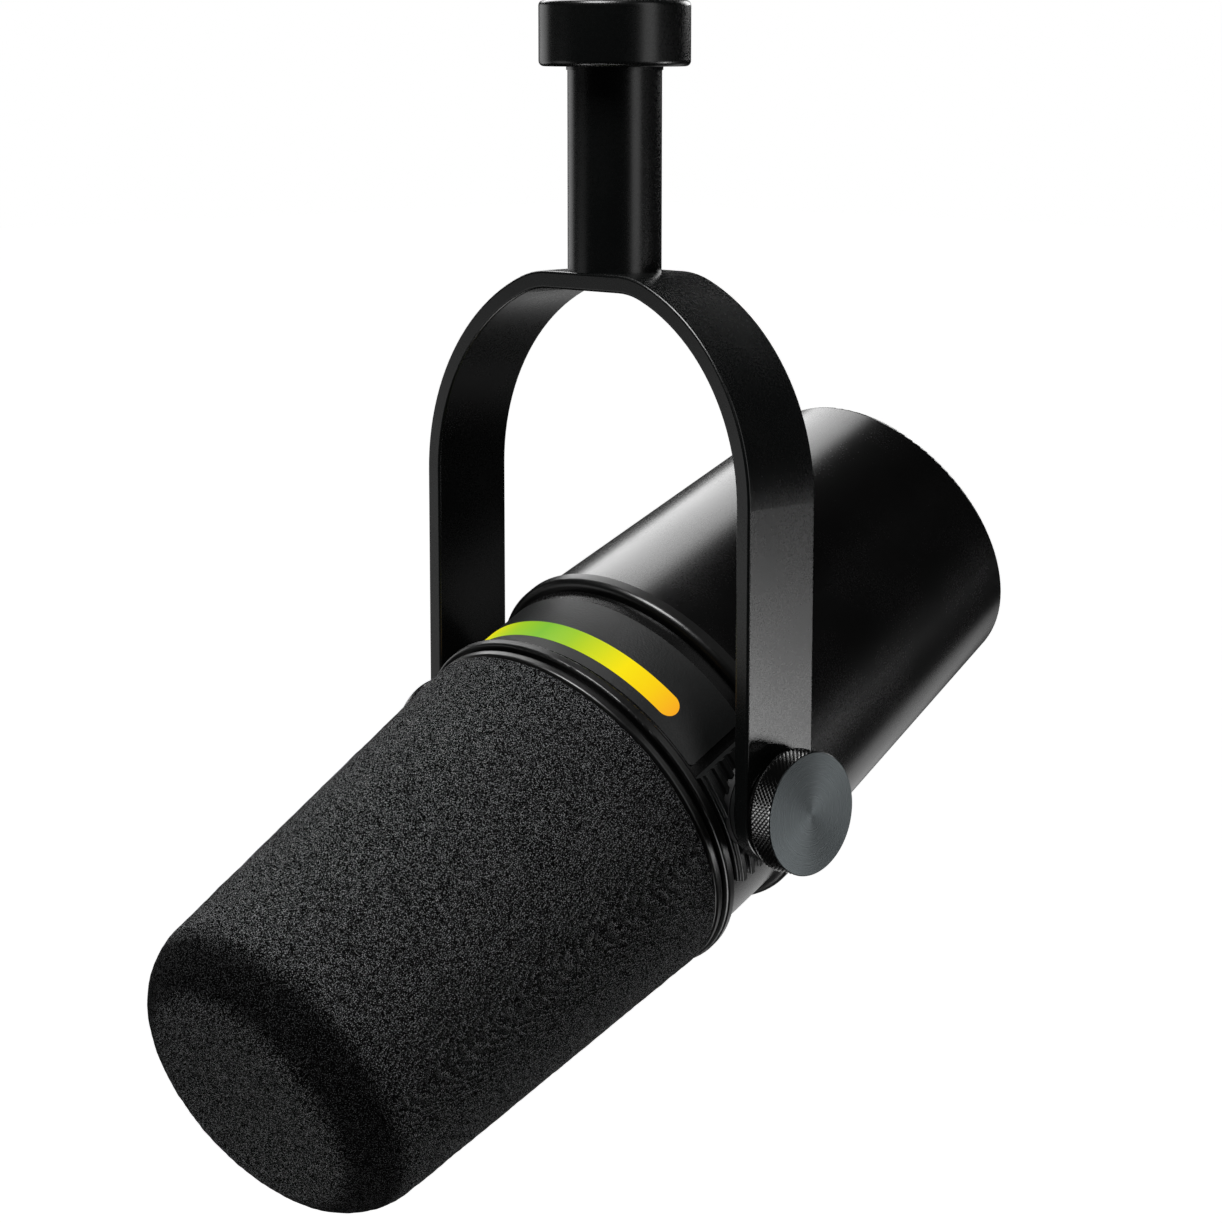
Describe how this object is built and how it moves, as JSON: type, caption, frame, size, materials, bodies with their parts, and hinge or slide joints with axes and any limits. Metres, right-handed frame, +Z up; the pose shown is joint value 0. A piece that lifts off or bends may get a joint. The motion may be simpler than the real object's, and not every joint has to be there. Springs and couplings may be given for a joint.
{
  "type": "broadcast microphone",
  "caption": "Broadcast microphone hanging nose-down in a U-shaped yoke, with a foam windscreen, clamping side knobs, a lit touch strip and a threaded stand nut.",
  "frame": {"origin": "centre of the stand thread's mouth, at the top face of the stand nut", "axes": "+Z up out of the stand thread along the stem, +X along the tilt pivot towards the right-hand knob, the nose pointing to -Y and down"},
  "size_m": [0.09, 0.1721, 0.1917],
  "materials": {
    "satin_black_metal": "satin black powder coat",
    "satin_black_shell": "satin black anodised",
    "soft_touch_black": "fine-grained matt black",
    "black_plastic": "plain moulded black",
    "gloss_black_trim": "polished black",
    "knob_metal": "turned dark grey face, diamond knurl",
    "zinc_steel": "zinc plated",
    "nickel": "nickel plated",
    "brass": "turned",
    "black_rubber": "moulded",
    "foam": "open-cell foam, fine grain",
    "light_guide": "diffused, lit green to yellow to orange",
    "lamp": "clear lens",
    "board": "green solder mask",
    "magnet_steel": "ground",
    "film": "thin polyester film",
    "copper": "enamelled copper wire"
  },
  "bodies": {
    "stand_nut": {"stand_nut": "satin_black_metal", "nut_retaining_ring": "zinc_steel"},
    "yoke": {"stem_tube": "satin_black_shell", "yoke_strap": "satin_black_metal", "stem_screw": "zinc_steel"},
    "windscreen": {"windscreen": "foam"},
    "knob_right": {"knob_right": "knob_metal", "knob_stud_right": "zinc_steel"},
    "knob_left": {"knob_left": "knob_metal", "knob_stud_left": "zinc_steel"},
    "moving_coil": {"voice_coil": "copper", "diaphragm": "film"},
    "head": {"friction_washer_right": "black_rubber", "friction_washer_left": "black_rubber", "pivot_bushing_right": "brass", "pivot_bushing_left": "brass", "side_pad_right": "black_rubber", "side_pad_left": "black_rubber", "neck_housing": "satin_black_shell", "touch_panel": "soft_touch_black", "led_light_guide": "light_guide", "led_board": "board", "leds": "lamp", "bezel_ring": "gloss_black_trim", "rim_ring": "gloss_black_trim", "grille": "satin_black_metal", "rear_trim_ring": "satin_black_shell", "rear_housing": "satin_black_shell", "end_cap": "black_plastic", "cap_screws": "zinc_steel", "xlr_shell": "nickel", "xlr_insert": "black_plastic", "xlr_pins": "nickel", "usb_c_shell": "nickel", "usb_c_tongue": "black_plastic", "headphone_jack": "gloss_black_trim", "main_board": "board", "capsule_case": "black_plastic", "capsule_cover": "black_plastic", "pole_piece": "magnet_steel", "magnet": "magnet_steel", "top_plate": "magnet_steel", "suspension_back": "black_rubber", "suspension_front": "black_rubber"}
  },
  "joints": [
    {"name": "yoke_pan", "type": "hinge", "parent": "stand_nut", "child": "yoke", "pos_m": [0, 0, -0.01], "axis": [0, 0, 1], "continuous": true},
    {"name": "head_tilt", "type": "hinge", "parent": "yoke", "child": "head", "pos_m": [0, 0, -0.1305], "axis": [1, 0, 0], "range_deg": [-85, 40]},
    {"name": "knob_right_turn", "type": "hinge", "parent": "head", "child": "knob_right", "pos_m": [0.042, 0, -0.1305], "axis": [1, 0, 0], "range_deg": [0, 360]},
    {"name": "knob_left_turn", "type": "hinge", "parent": "head", "child": "knob_left", "pos_m": [-0.042, 0, -0.1305], "axis": [-1, 0, 0], "range_deg": [0, 360]},
    {"name": "windscreen_pull", "type": "slide", "parent": "head", "child": "windscreen", "axis": [0, -0.8996, -0.4368], "range_m": [0, 0.075]},
    {"name": "coil_travel", "type": "slide", "parent": "head", "child": "moving_coil", "axis": [0, -0.8996, -0.4368], "range_m": [-0.0003, 0.0003], "stiffness_N_per_m": 100}
  ]
}
